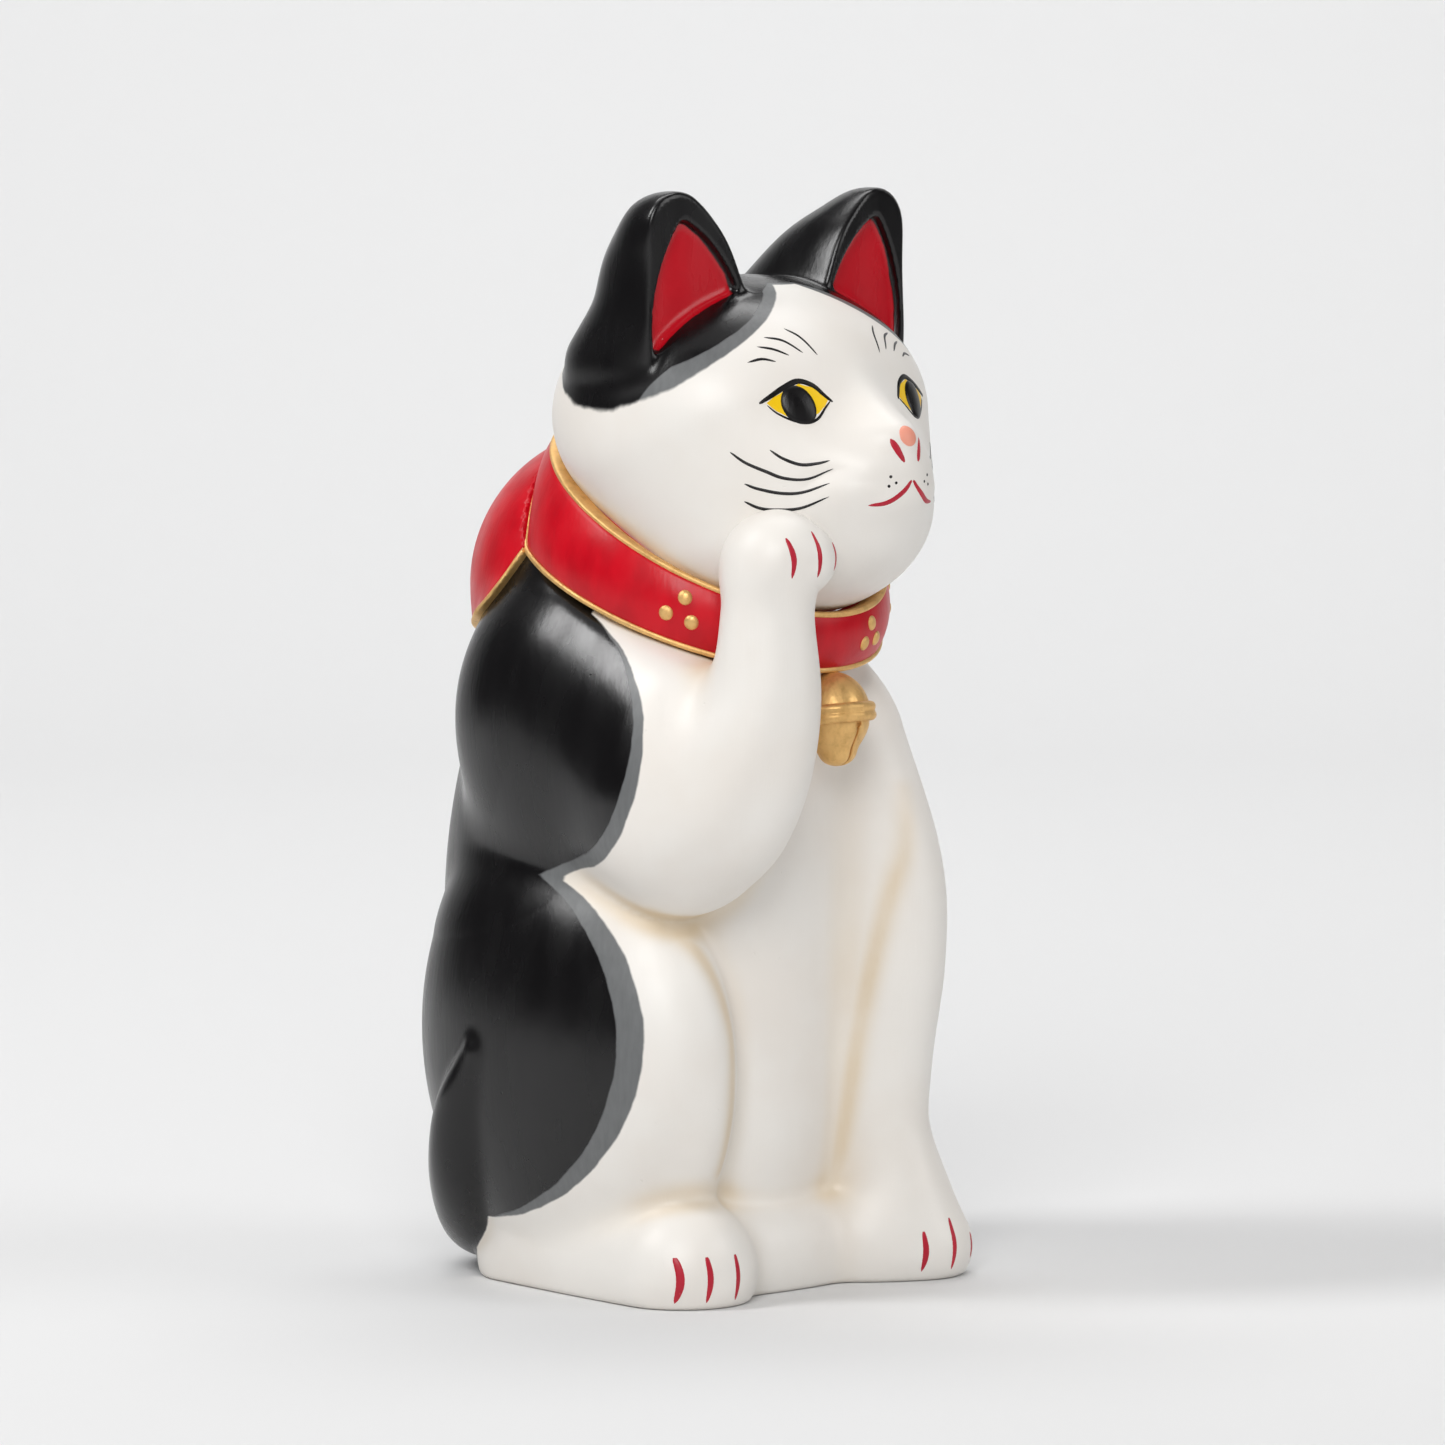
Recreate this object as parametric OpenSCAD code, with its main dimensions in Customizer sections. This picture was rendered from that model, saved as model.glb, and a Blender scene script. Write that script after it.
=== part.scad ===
// Beckoning cat figurine in painted, slip-cast ceramic: a hollow body and a hollow head
// luted together at a tilted neck line, with the raised right forelimb, the ears, the tail,
// the collar, the kerchief and the bell added as separate pieces of clay.
//
// Millimetres. The origin is the middle of the underside, +Z is up, the cat looks along -Y
// and its own left side is +X. Every mass is drawn for a 300 mm cat and scaled by k.

/* [Figure] */
// Height from the shelf to the ear tips
figure_h = 300; // [210:5:390]
// Thickness of the cast clay wall
wall = 5; // [3:0.5:7]

/* [Collar] */
// Width of the raised gold edging
trim_w = 2.4; // [1.6:0.2:3.2]
// Diameter of each gold dot on the collar
dot_d = 4; // [3:0.25:5]
// Diameter of the bell
bell_d = 20; // [17:0.5:22]

/* [Underside] */
// Diameter of the disc that closes the body underneath
base_d = 72; // [60:2:76]
// Diameter of the hole that lets air out in the kiln
vent_d = 12; // [8:1:16]

/* [Hidden] */

k = figure_h / 300;
skin_fn = 30;       // facets round an outer mass
inner_fn = 18;      // facets round a mass of the hollow
cut = 0.01;         // overshoot that keeps a cut face clean
far = 400 * k;      // longer than the whole figure

// Collar: a band between two round rims, each in a plane that rises toward the nape.
low_rim_y = -15.6 * k;
low_rim_r = 48.9 * k;
low_rim_z = 190.6 * k;
low_rim_tilt = 23;
top_rim_y = -22.5 * k;
top_rim_r = 45.4 * k;
top_rim_z = 210.6 * k;
top_rim_tilt = 29;
neck_y = -20 * k;
nape_z = 122 * k;
nape_tilt = 70;
joint_z = 200 * k;
joint_tilt = 26;

// Dots: four groups of three on the band's middle line.
dots_z = 200.4 * k;
dots_rise = 23.4 * k;
dots_r = 48.2 * k;

// The mass of the right shoulder, its centre and its half sizes.
shoulder = [[-40, -1, 159], [21, 35, 44]];

// Kerchief: its hem is an arc seen from behind, and its front edges lie in a leaning plane.
hem_r = 126.5 * k;
hem_z = 300 * k;
front_y = 16 * k;
front_z = 185 * k;
front_lean = 29.7;
kerchief_t = 2.6;    // drawn at 300 mm, and scaled where it is used
trim_proud = 0.8;

// Bell: an egg that hangs from the collar with its tip swung forward.
bell_at = [2, -64.5, 158] * k;
bell_r = bell_d / 2 * k;
bell_lean = 8;
bell_dome = 1.15;   // height of its dome over its radius
bell_tip = 1.4;     // depth of its tip over its radius
tip_r = 0.45;       // rounding of the tip over its radius
bell_wall = 2 * k;
slit_w = 0.8 * k;
slit_top = -3.6 * k;
slit_hole_r = 1 * k;
girdle_r = 1.5 * k;
girdle_step = 1.15 * k;

base_t = 5 * k;
base_gap = 0.2;

// One rounded mass of clay: its centre, its half sizes and how much smaller it is cast.
module lump(at, r, inset = 0) {
    translate(at * k)
        scale([for (half = r) max(half - inset, 1) * k])
            sphere(r = 1, $fn = inset > 0 ? inner_fn : skin_fn);
}

// A limb that tapers through stations, each a centre and its half sizes.
module limb(stations, inset = 0) {
    for (i = [1 : len(stations) - 1])
        hull() {
            lump(stations[i - 1][0], stations[i - 1][1], inset);
            lump(stations[i][0], stations[i][1], inset);
        }
}

module both_sides() {
    children();
    mirror([1, 0, 0]) children();
}

// Everything above a plane that rises toward the back by tilt degrees.
module above(z, tilt) {
    translate([0, neck_y, z])
        rotate([tilt, 0, 0])
            translate([-far / 2, -far / 2, 0]) cube(far);
}

module below(z, tilt) {
    translate([0, neck_y, z])
        rotate([tilt, 0, 0])
            translate([-far / 2, -far / 2, -far]) cube(far);
}

// ---- Body -------------------------------------------------------------------------

module trunk(inset) {
    hull() {
        lump([0, 4, 10], [46, 49, 30], inset);
        lump([0, 5, 108], [53, 59, 130], inset);
        lump([0, 1, 168], [54, 54, 46], inset);
    }
    hull() {
        lump([0, 1, 168], [54, 54, 46], inset);
        lump([0, 13, 188], [43, 41, 43], inset);
    }
}

module haunch(inset) {
    hull() {
        lump([-38, 2, 90], [23, 43, 34], inset);
        lump([-36, -4, 65], [28, 54, 53], inset);
        lump([-33, -4, 36], [22, 46, 36], inset);
    }
}

module hind_foot(inset) {
    limb([[[-36, 14, 6], [12, 18, 15]], [[-36.5, -20, 7], [16, 22, 20]],
          [[-35.5, -44.5, 8], [20, 19.5, 20]]], inset);
}

module left_foreleg(inset) {
    limb([[[31, -32, 143], [21, 25, 28]], [[38, -38, 112], [20, 27, 24]],
          [[38.5, -40, 88], [19, 26, 20]], [[38.5, -38.5, 60], [17, 23, 16]],
          [[38.5, -38.5, 40], [16.5, 22.5, 14]], [[41.5, -46.5, 20], [17.5, 20, 14]],
          [[44, -50, 8], [18.5, 20.5, 16.5]]], inset);
}

module plinth(inset) {
    lump([0, -38, 8], [50, 17, 19], inset);
}

// The outside of the body, or with an inset the hollow inside it.
module body_form(inset = 0) {
    trunk(inset);
    both_sides() haunch(inset);
    hind_foot(inset);
    mirror([1, 0, 0]) hind_foot(inset);
    left_foreleg(inset);
    plinth(inset);
}

module body_hollow() {
    intersection() {
        body_form(wall);
        translate([-far / 2, -far / 2, base_t]) cube(far);
    }
}

module body_shell() {
    color("white")
        difference() {
            intersection() {
                body_form();
                translate([-far / 2, -far / 2, 0]) cube(far);
                below(joint_z, joint_tilt);
            }
            body_hollow();
            translate([0, 0, -cut]) cylinder(d = base_d * k, h = base_t + 2 * cut, $fn = 72);
        }
}

module base_disc() {
    color("white")
        difference() {
            cylinder(d = base_d * k - 2 * base_gap, h = base_t, $fn = 72);
            translate([0, base_d / 4 * k, -cut])
                cylinder(d = vent_d * k, h = base_t + 2 * cut, $fn = 48);
        }
}

// ---- Head -------------------------------------------------------------------------

module head_form(inset = 0) {
    hull() {
        lump([0, -31, 238], [55, 49, 38.5], inset);
        lump([0, -42, 214], [42, 48, 31], inset);
    }
    hull() {
        lump([0, -46, 227], [36, 35, 26], inset);
        lump([0, -62, 237], [12, 27, 12], inset);
        lump([-7, -75, 222], [13, 19, 12], inset);
        lump([7, -75, 222], [13, 19, 12], inset);
    }
    hull() {
        lump([0, -46, 212], [34, 36, 24], inset);
        lump([0, -66, 209], [17, 22, 12], inset);
    }
}

module head_shell() {
    color("white")
        difference() {
            intersection() {
                head_form();
                above(joint_z, joint_tilt);
            }
            head_form(wall);
        }
}

// The right ear as a thick cupped cone with a flat front and a shallow painted hollow.
module ear_form() {
    difference() {
        hull() {
            lump([-38.3, -43, 288.5], [9, 14.5, 9]);
            lump([-38, -40.5, 281], [10.5, 21, 11.5]);
            lump([-29, -38, 281.5], [9.3, 20, 10]);
            lump([-39, -30, 262], [13, 21, 17]);
            lump([-24, -34, 268], [11, 27, 12]);
        }
        translate([-far / 2, (-48 - 400) * k, 0]) cube(far);
        hull() {
            lump([-38, -49, 286], [3, 3, 3]);
            lump([-43, -49, 264], [3, 3, 3]);
            lump([-22, -49, 275], [3, 3, 3]);
        }
        head_form();
    }
}

module right_ear() {
    color("dimgray") ear_form();
}

module left_ear() {
    color("dimgray") mirror([1, 0, 0]) ear_form();
}

// ---- Limbs ------------------------------------------------------------------------

module forelimb_form() {
    intersection() {
        hull() {
            lump(shoulder[0], shoulder[1]);
            lump([-37.5, -40, 143], [22.3, 29, 36]);
        }
        translate([0, low_rim_y - neck_y, 0]) below(low_rim_z, low_rim_tilt);
    }
    limb([[[-37, -48, 134], [23, 26, 27]], [[-36, -60, 138], [20, 21, 21]],
          [[-34, -70, 152], [17, 17, 18]], [[-33, -73, 166], [15, 15, 15]],
          [[-33, -74, 188], [12, 12, 12]], [[-32, -75, 200], [14, 14, 14]],
          [[-27, -80, 202], [11, 10, 11]]]);
}

module right_forelimb() {
    color("white")
        difference() {
            forelimb_form();
            body_form();
            collar_form(0);
            head_form();
        }
}

module tail() {
    color("dimgray")
        difference() {
            limb([[[-62, 9, 65], [3, 3, 4]], [[-59, 17, 50], [7, 8, 7]],
                  [[-52, 25, 32], [11, 12, 10]], [[-38, 34, 17], [12, 13, 11]],
                  [[-18, 45, 13], [12, 13, 12]], [[0, 46, 13], [12, 12, 12]]]);
            body_form();
            translate([-far / 2, -far / 2, -far]) cube(far);
        }
}

// ---- Collar and kerchief ----------------------------------------------------------

// A thin disc in the plane of one rim that looks round from above.
module rim_disc(r, y, z, tilt) {
    multmatrix([[1, 0, 0, 0], [0, 1, 0, y], [0, tan(tilt), 1, z], [0, 0, 0, 1]])
        cylinder(r = r, h = cut, $fn = 72);
}

// Everything inside the collar's outer face, which is moved out by grow. The band ends
// where the kerchief crosses the nape.
module collar_form(grow) {
    intersection() {
        hull() {
            rim_disc(low_rim_r + grow, low_rim_y, low_rim_z, low_rim_tilt);
            rim_disc((low_rim_r + top_rim_r) / 2 + 1.2 * k + grow, (low_rim_y + top_rim_y) / 2,
                     (low_rim_z + top_rim_z) / 2, (low_rim_tilt + top_rim_tilt) / 2);
            rim_disc(top_rim_r + grow, top_rim_y, top_rim_z, top_rim_tilt);
        }
        above(nape_z, nape_tilt);
    }
}

// The part of the collar above its lower edging, which also runs up both nape ends.
module over_low_edging() {
    intersection() {
        translate([0, low_rim_y - neck_y, 0])
            above(low_rim_z + trim_w * k, low_rim_tilt);
        above(nape_z + trim_w * k / cos(nape_tilt), nape_tilt);
    }
}

module under_top_edging() {
    translate([0, top_rim_y - neck_y, 0]) below(top_rim_z - trim_w * k, top_rim_tilt);
}

module collar() {
    color("firebrick")
        difference() {
            intersection() {
                collar_form(0);
                over_low_edging();
                under_top_edging();
            }
            head_form();
            body_form();
        }
}

module collar_trim_upper() {
    color("goldenrod")
        difference() {
            collar_form(trim_proud * k);
            under_top_edging();
            head_form();
            body_form();
        }
}

module collar_trim_lower() {
    color("goldenrod")
        difference() {
            intersection() {
                collar_form(trim_proud * k);
                under_top_edging();
            }
            over_low_edging();
            head_form();
            body_form();
        }
}

// Everything above the hem's arc and behind the front edges, both moved in by inset.
module inside_hem(inset) {
    intersection() {
        translate([0, -far / 4, hem_z])
            rotate([-90, 0, 0])
                cylinder(r = hem_r - inset, h = far, $fn = 96);
        translate([0, front_y, front_z])
            rotate([front_lean, 0, 0])
                translate([-far / 2, inset, -far / 2]) cube(far);
    }
}

// The cloth over the back of the shoulders, proud of the body by grow.
module kerchief_form(grow) {
    hull() {
        lump([0, 1, 168], [54, 54, 46] + grow * [1, 1, 1]);
        lump([0, 13, 188], [43, 41, 43] + grow * [1, 1, 1]);
    }
    lump(shoulder[0], shoulder[1] + grow * [1, 1, 1]);
}

module kerchief() {
    color("firebrick")
        difference() {
            intersection() {
                kerchief_form(kerchief_t);
                inside_hem(trim_w * k);
            }
            body_form();
            forelimb_form();
            head_form();
            collar_form(trim_proud * k);
        }
}

module kerchief_trim() {
    color("goldenrod")
        difference() {
            intersection() {
                kerchief_form(kerchief_t + trim_proud);
                inside_hem(0);
            }
            inside_hem(trim_w * k);
            body_form();
            forelimb_form();
            head_form();
            collar_form(trim_proud * k);
        }
}

module collar_dots() {
    color("goldenrod")
        for (turn = [-54, -18, 18, 54])
            for (spoke = [90, 210, 330])
                translate([0, neck_y, dots_z - dots_rise * cos(turn) + 3.4 * k * sin(spoke)])
                    rotate([0, 0, turn + 4 * cos(spoke)])
                        translate([0, -dots_r, 0])
                            sphere(d = dot_d * k, $fn = 20);
}

// ---- Bell -------------------------------------------------------------------------

// The outside of the bell, or with an inset the hollow inside it.
module bell_form(inset = 0) {
    translate(bell_at)
        rotate([-bell_lean, 0, 0])
            hull() {
                scale([1, 1, bell_dome]) sphere(r = bell_r - inset, $fn = 36);
                translate([0, 0, (tip_r - bell_tip) * bell_r])
                    sphere(r = tip_r * bell_r - inset, $fn = 24);
            }
}

// The slit down the front of the bell, which ends in a round hole.
module bell_slit() {
    translate(bell_at)
        rotate([-bell_lean, 0, 0])
            translate([0, 0, slit_top]) {
                translate([-slit_w / 2, -2 * bell_r, -2 * bell_r])
                    cube([slit_w, 2 * bell_r, 2 * bell_r]);
                rotate([90, 0, 0]) cylinder(r = slit_hole_r, h = 2 * bell_r, $fn = 24);
            }
}

module bell() {
    color("gold")
        difference() {
            union() {
                bell_form();
                // the dab of slip that fixes it to the chest
                lump([2, -53, 158], [5, 5, 5]);
            }
            bell_form(bell_wall);
            bell_slit();
            body_form();
            collar_form(trim_proud * k);
        }
}

module bell_girdle() {
    color("gold")
        difference() {
            translate(bell_at)
                rotate([-bell_lean, 0, 0])
                    for (step = [-girdle_step, girdle_step])
                        translate([0, 0, step])
                            rotate_extrude($fn = 48)
                                translate([bell_r, 0]) circle(r = girdle_r, $fn = 12);
            bell_form();
            body_form();
        }
}

body_shell();
head_shell();
right_forelimb();
right_ear();
left_ear();
tail();
collar();
collar_trim_upper();
collar_trim_lower();
kerchief();
kerchief_trim();
collar_dots();
bell();
bell_girdle();
base_disc();
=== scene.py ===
"""The painted skin of a beckoning cat, modelled as one smooth field of clay over its CAD parts.

Everything is drawn in millimetres of a 300 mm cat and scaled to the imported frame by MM.
X is the cat's left, the cat looks along -Y and Z is up.
"""
import math

import bpy
import numpy as np
import openvdb
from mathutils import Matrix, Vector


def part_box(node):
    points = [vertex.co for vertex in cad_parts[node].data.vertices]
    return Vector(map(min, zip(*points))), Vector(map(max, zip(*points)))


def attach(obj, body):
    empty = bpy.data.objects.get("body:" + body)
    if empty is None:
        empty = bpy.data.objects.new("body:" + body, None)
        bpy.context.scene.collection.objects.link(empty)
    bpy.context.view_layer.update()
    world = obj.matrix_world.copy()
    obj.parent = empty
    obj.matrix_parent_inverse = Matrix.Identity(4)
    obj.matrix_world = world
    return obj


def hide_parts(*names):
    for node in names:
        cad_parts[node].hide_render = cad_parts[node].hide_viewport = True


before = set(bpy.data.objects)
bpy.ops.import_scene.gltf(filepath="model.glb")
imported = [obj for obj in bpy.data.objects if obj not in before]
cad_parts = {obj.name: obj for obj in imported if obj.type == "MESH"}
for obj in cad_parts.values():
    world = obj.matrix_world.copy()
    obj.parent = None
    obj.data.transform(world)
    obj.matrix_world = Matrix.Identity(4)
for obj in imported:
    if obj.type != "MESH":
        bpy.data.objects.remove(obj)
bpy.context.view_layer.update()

EAR_TOP = 297.45                              # height of the ear tips as drawn
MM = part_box("right_ear")[1].z / EAR_TOP       # metres in one drawn millimetre
BASE_R = 36.0                                 # the disc that closes the body underneath
BASE_T = 5.0
FAR = 40.0                                    # a distance nothing is blended over

# ---- Clay field -----------------------------------------------------------------------
# A mass is (centre, half sizes). A limb runs smoothly through a list of masses.

TRUNK = [((0, 5, 56), (52, 57, 80)), ((0, 5, 108), (53, 59, 66)),
         ((0, -2, 164), (52, 50.5, 42)), ((0, 12, 190), (43.5, 41, 41.5))]
HAUNCH = [((-38, 2, 90), (23, 43, 34)), ((-36, -4, 65), (28, 54, 53)), ((-33, -4, 36), (22, 46, 36))]
HIND_FOOT = [((-36, 14, 6), (12, 18, 15)), ((-36.5, -20, 7), (16, 22, 20)),
             ((-35.5, -44.5, 8), (20, 19.5, 20))]
PLINTH = ((0, -38, 8), (50, 17, 19))
FORELEG = [((31, -32, 143), (21, 25, 28)), ((38, -38, 112), (20, 27, 24)),
           ((38.5, -40, 88), (19, 26, 20)), ((38.5, -38.5, 60), (17, 23, 17)),
           ((38.5, -38.5, 40), (16.5, 22.5, 16)), ((41.5, -46.5, 20), (17.5, 20, 14)),
           ((44, -50, 8), (18.5, 20.5, 16.5))]
SHOULDER = [((-39.5, -2, 155), (22, 35.5, 40)), ((-39.5, -12, 150), (21.5, 35.5, 40)),
            ((-37.5, -40, 143), (22.5, 29, 36))]
COLLAR_SEAT = ((0, -15.6, 189.5), (0, -0.39, 0.92))   # plane under the collar, (point, normal)
FOREARM = [((-37, -46, 134), (24, 28, 28)), ((-36, -58, 138), (21, 23, 24)),
           ((-34.5, -68, 150), (18, 18, 20)), ((-33, -73, 166), (15, 15, 15)),
           ((-33, -74, 188), (12.5, 12.5, 12)), ((-32, -75, 201), (14, 14, 13.5)),
           ((-28, -79, 202), (11.5, 11, 10.5))]
TAIL = [((-62, 9, 65), (3, 3, 4)), ((-59, 17, 50), (7, 8, 7)), ((-51, 23.5, 32), (10.5, 11.5, 10)),
        ((-37, 33, 17), (11.5, 12.5, 11)), ((-18, 45, 13), (12, 13, 12)), ((0, 46, 13), (12, 12, 12))]
SKULL = [((0, -31, 238), (54.5, 47.5, 38)), ((0, -42, 214), (42, 46.5, 31))]
SNOUT = [((0, -46, 227), (36, 33, 26)), ((0, -73.5, 226), (20, 20.5, 11.5)),
         ((0, -75, 220.5), (20, 20.5, 13))]
BRIDGE = [((0, -57, 242), (9.5, 20.5, 12)), ((0, -76, 233.5), (10, 18, 7.5))]
CHIN = [((0, -46, 212), (34.5, 36, 24)), ((0, -64, 208.5), (20, 22.5, 13))]
EAR_OUTER = [((-39.5, -29, 252), (14, 21.5, 15.5)), ((-38, -36.5, 266), (12.4, 21.5, 12.5)),
             ((-38, -40, 279), (11, 20.5, 11.5)), ((-38.3, -43, 288.5), (9, 14, 9))]
EAR_INNER = [((-24, -34, 268), (11, 29, 12)), ((-29, -38, 281.5), (9.3, 20, 10)),
             ((-38.3, -43, 288.5), (9, 14.5, 9))]
EAR_FACE = ((-31, -47.2, 0), (-0.09, -1, 0))          # (point, normal)
EAR_DEPTH = 2.6
EAR_HOLLOW = [(-37.3, 292), (-18, 271.5), (-47, 255)]  # corners of the hollow, (x, z)
EAR_BULGE = [2.6, 0.5, 4.0]                           # how far each of its sides bows out

# How far the clay fills the crease between two masses, or rounds an edge.
CHEST_FILL, ELBOW_FILL, ARM_FILL = 16, 14, 9
HAUNCH_FILL, PLINTH_FILL, FOOT_FILL, TAIL_FILL = 7, 6, 9, 5
MUZZLE_FILL, FACE_FILL, EAR_FILL, EAR_BASE_FILL = 12, 10, 10, 3
SEAT_EDGE, SHELF_EDGE = 5, 2.5
EAR_EDGE, EAR_LIP, HOLLOW_EDGE, HOLLOW_CORNER = 2, 1.5, 3, 3.5

LIMB_STEPS = 6              # masses tried between two of a limb's own
LIMB_NEAR = 22.0            # a limb is worked out exactly within this distance of it
LIMB_MARGIN = 6.0           # what a point outside its box adds to the distance to the box


def ellipsoid(points, centre, half):
    """Distance to an ellipsoid: exact on its surface and close to it nearby."""
    offset = points - centre
    reach = np.linalg.norm(offset / half, axis=-1)
    slope = np.linalg.norm(offset / np.square(half), axis=-1)
    return reach * (reach - 1.0) / np.maximum(slope, 1e-6)


def lump(points, mass):
    return ellipsoid(points, *np.array(mass, float))


def spline(knots, share):
    """Points of the smooth curve through the knots, at shares from 0 to len(knots) - 1."""
    knots = np.array(knots, float)
    knots = np.vstack([2 * knots[0] - knots[1], knots, 2 * knots[-1] - knots[-2]])
    first = np.clip(np.floor(share).astype(int), 0, len(knots) - 4)
    t = (share - first)[:, None]
    a, b, c, d = (knots[first + i] for i in range(4))
    return b + 0.5 * t * (c - a + t * (2 * a - 5 * b + 4 * c - d + t * (3 * (b - c) + d - a)))


def limb(points, masses):
    """Distance to the skin of a limb; points far from it get the distance to its box."""
    masses = np.array(masses, float).reshape(-1, 6)
    low = (masses[:, :3] - masses[:, 3:]).min(0)
    high = (masses[:, :3] + masses[:, 3:]).max(0)
    away = np.maximum(np.maximum(low - points, points - high), 0.0)
    result = np.linalg.norm(away, axis=1) + LIMB_MARGIN
    near = result < LIMB_NEAR
    if not near.any():
        return result
    points = points[near]
    last = (len(masses) - 1) * LIMB_STEPS
    tried = spline(masses, np.arange(last + 1) / LIMB_STEPS)
    values = np.stack([ellipsoid(points, mass[:3], mass[3:]) for mass in tried])
    best = np.clip(values.argmin(0), 1, last - 1)
    before, here, after = (values[best + i, np.arange(len(points))] for i in (-1, 0, 1))
    bend = np.maximum(before - 2 * here + after, 1e-6)
    mass = spline(masses, (best + np.clip(0.5 * (before - after) / bend, -1, 1)) / LIMB_STEPS)
    result[near] = np.minimum(ellipsoid(points, mass[:, :3], mass[:, 3:]), values.min(0))
    return result


def join(a, b, soft):
    """Union with its crease filled over about soft millimetres."""
    overlap = np.maximum(soft - np.abs(a - b), 0.0) / soft
    return np.minimum(a, b) - overlap ** 3 * soft / 6.0


def keep(a, b, soft):
    """What lies in both, with its edge rounded over about soft millimetres."""
    return -join(-a, -b, soft)


def other_side(points):
    return points * (-1.0, 1.0, 1.0)


def facing(points, at, towards):
    """Distance in front of the plane through at that looks towards."""
    towards = np.array(towards, float)
    return (points - at) @ (towards / np.linalg.norm(towards))


def forelimb(points):
    shoulder = keep(limb(points, SHOULDER), facing(points, *COLLAR_SEAT), SEAT_EDGE)
    return join(shoulder, limb(points, FOREARM), ELBOW_FILL)


def torso(points):
    """The body without its haunches and feet, the raised forelimb pressed into it."""
    trunk = join(limb(points, TRUNK), limb(points, FORELEG), CHEST_FILL)
    return join(trunk, forelimb(points), ARM_FILL)


def body(points):
    """Body, raised forelimb and tail as one skin, standing on the shelf."""
    result = torso(points)
    for side in (points, other_side(points)):
        result = join(result, limb(side, HAUNCH), HAUNCH_FILL)
    result = join(result, lump(points, PLINTH), PLINTH_FILL)
    for side in (points, other_side(points)):
        result = join(result, limb(side, HIND_FOOT), FOOT_FILL)
    result = join(result, limb(points, TAIL), TAIL_FILL)
    result = keep(result, -points[:, 2], SHELF_EDGE)
    recess = np.maximum(np.hypot(points[:, 0], points[:, 1]) - BASE_R, points[:, 2] - BASE_T)
    return np.maximum(result, -recess)


def ear_window(points):
    """Distance to the leaf shape, three bowed sides, that frames the hollow of the right ear."""
    flat = points[:, [0, 2]]
    window = np.full(len(points), -FAR)
    for start, end, bulge in zip(EAR_HOLLOW, EAR_HOLLOW[1:] + EAR_HOLLOW[:1], EAR_BULGE):
        along = np.subtract(end, start)
        length = np.linalg.norm(along)
        outward = np.array([-along[1], along[0]]) / length
        radius = (length ** 2 / 4 + bulge ** 2) / (2 * bulge)
        middle = np.add(start, end) / 2 + outward * (bulge - radius)
        window = keep(window, np.linalg.norm(flat - middle, axis=1) - radius, HOLLOW_CORNER)
    return window


def ear(points):
    """The right ear: a cupped cone with a flat rim and a shallow hollow in its face."""
    cone = join(limb(points, EAR_OUTER), limb(points, EAR_INNER), EAR_FILL)
    cone = keep(cone, facing(points, *EAR_FACE), EAR_EDGE)
    hollow = keep(ear_window(points), -facing(points, *EAR_FACE) - EAR_DEPTH, HOLLOW_EDGE)
    return keep(cone, -hollow, EAR_LIP)


def muzzled_skull(points):
    return join(limb(points, SKULL), limb(points, SNOUT), MUZZLE_FILL)


def head(points):
    """Head and both ears."""
    result = join(muzzled_skull(points), limb(points, BRIDGE), FACE_FILL)
    result = join(result, limb(points, CHIN), FACE_FILL)
    for side in (points, other_side(points)):
        result = join(result, ear(side), EAR_BASE_FILL)
    return result


# ---- Meshes ---------------------------------------------------------------------------

BODY_BOX, BODY_PITCH = ((-74, -104, -3), (74, 76, 236)), 1.25     # box and cell of each skin
HEAD_BOX, HEAD_PITCH = ((-62, -102, 184), (62, 24, 301)), 1.0
CLOTH_BOX, CLOTH_PITCH, HEM_PITCH = ((-70, -30, 155), (70, 68, 240)), 1.25, 0.9
BELL_PITCH = 0.4
COARSE_FOLD = 4             # fine cells along the side of a coarse one
COARSE_REACH = 1.3          # coarse cells this near the surface, in their own sides, are refined
CAST_FROM = 130.0           # a plane in front of the whole cat
CAST_STEPS, CAST_SHARE = 70, 0.85   # steps of a cast, each this share of the distance left
STROKE_STEP = 0.7           # length of one row of a brush stroke
STROKE_LANES = 7            # points across a brush stroke
STROKE_FULLNESS = 0.55      # the lower, the sooner a stroke swells to its full width
TIP_THICK = 0.02
STROKE_ROUND = 0.95         # 1 for a stroke whose section is half an ellipse
STROKE_SUNK = 0.06          # how much lower the sides of a stroke are, to meet the clay
PATCH_SUNK = 0.05           # how deep the rim of a filled patch goes under the clay


def slope(field, points, step=0.25):
    """Gradient of a field from four samples round each point."""
    corners = np.array([(1, -1, -1), (-1, -1, 1), (-1, 1, -1), (1, 1, 1)], float)
    return sum(corner * field(points + step * corner)[:, None] for corner in corners) / (4 * step)


def unit(vectors):
    return vectors / np.maximum(np.linalg.norm(vectors, axis=-1, keepdims=True), 1e-9)


def settle(field, points, rounds=2):
    """Moves points onto the field's surface; returns them with their normals."""
    for _ in range(rounds):
        grad = slope(field, points)
        steep = np.maximum((grad ** 2).sum(1), 0.2)
        points = points - grad * (field(points) / steep)[:, None]
    return points, unit(slope(field, points))


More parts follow.
